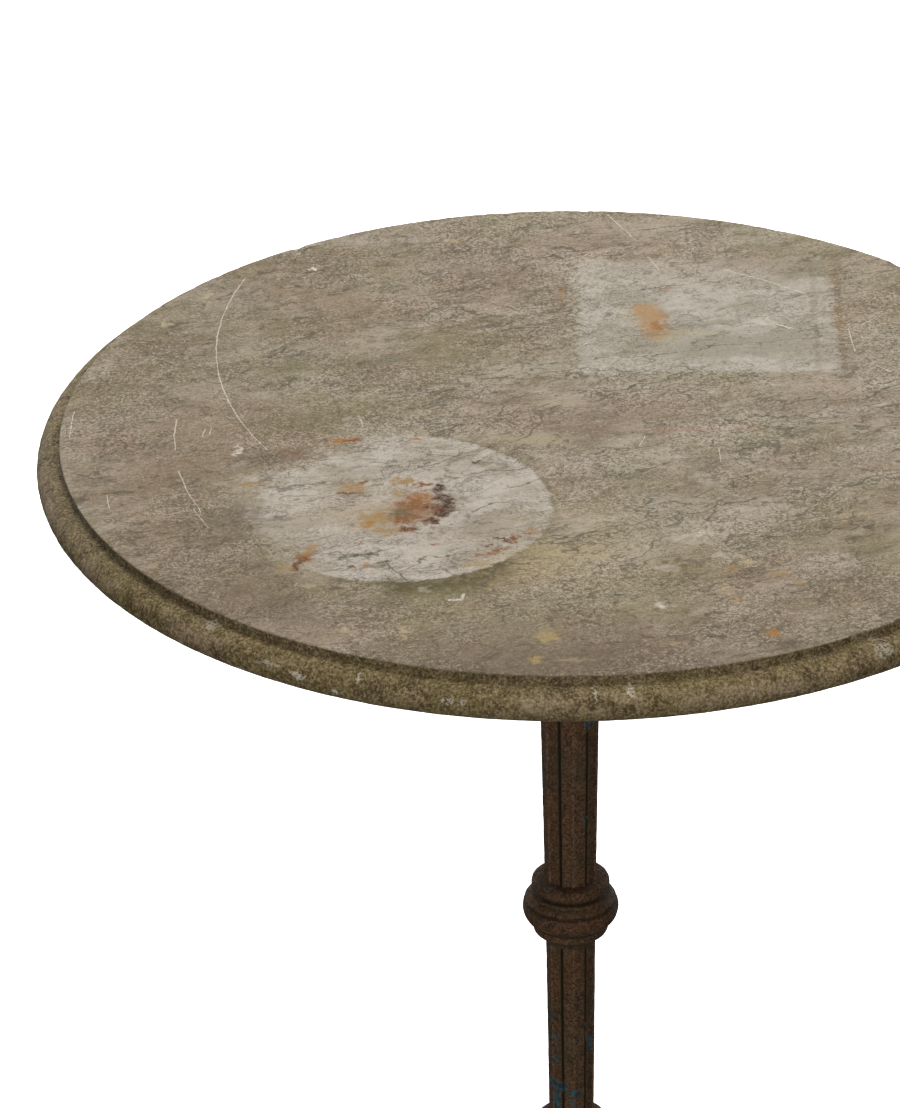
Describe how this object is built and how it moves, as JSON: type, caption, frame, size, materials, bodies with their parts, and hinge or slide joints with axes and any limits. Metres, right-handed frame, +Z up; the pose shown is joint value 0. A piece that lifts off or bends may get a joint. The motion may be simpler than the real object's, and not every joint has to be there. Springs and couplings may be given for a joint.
{
  "type": "bistro table",
  "caption": "Round stone-topped bistro table with a stepped and rounded edge on a slender turned and faceted cast-iron pedestal with arched scroll legs.",
  "frame": {"origin": "on the floor under the middle of the round top", "axes": "+Z up along the pedestal; -Y faces the viewer and one leg points along -Y"},
  "size_m": [0.6, 0.6, 0.72],
  "materials": {
    "stone": "weathered, honed, stained",
    "cast_iron": "brown rust with remnants of blue paint",
    "lead": "dull lead grey",
    "steel": "rusted"
  },
  "bodies": {
    "root": {"stone_top": "stone", "top_spider": "cast_iron", "upper_shaft": "cast_iron", "shaft_collar": "cast_iron", "lower_shaft": "cast_iron", "base_ring": "cast_iron", "leg_hub": "cast_iron", "leg_1": "cast_iron", "leg_2": "cast_iron", "leg_3": "cast_iron", "bottom_finial": "cast_iron", "bedding_washer_1": "lead", "bedding_washer_2": "lead", "bedding_washer_3": "lead", "bedding_washer_4": "lead", "top_anchor_1": "lead", "top_anchor_2": "lead", "top_anchor_3": "lead", "top_anchor_4": "lead", "top_screw_1": "steel", "top_screw_2": "steel", "top_screw_3": "steel", "top_screw_4": "steel", "top_washer_1": "steel", "top_washer_2": "steel", "top_washer_3": "steel", "top_washer_4": "steel", "tie_rod": "steel", "rod_top_nut": "steel", "rod_top_washer": "steel", "rod_bottom_nut": "steel", "rod_bottom_washer": "steel", "centring_bush": "steel", "leg_bolt_1a": "steel", "leg_bolt_1b": "steel", "leg_bolt_2a": "steel", "leg_bolt_2b": "steel", "leg_bolt_3a": "steel", "leg_bolt_3b": "steel", "leg_washer_1a": "steel", "leg_washer_1b": "steel", "leg_washer_2a": "steel", "leg_washer_2b": "steel", "leg_washer_3a": "steel", "leg_washer_3b": "steel"}
  },
  "joints": []
}
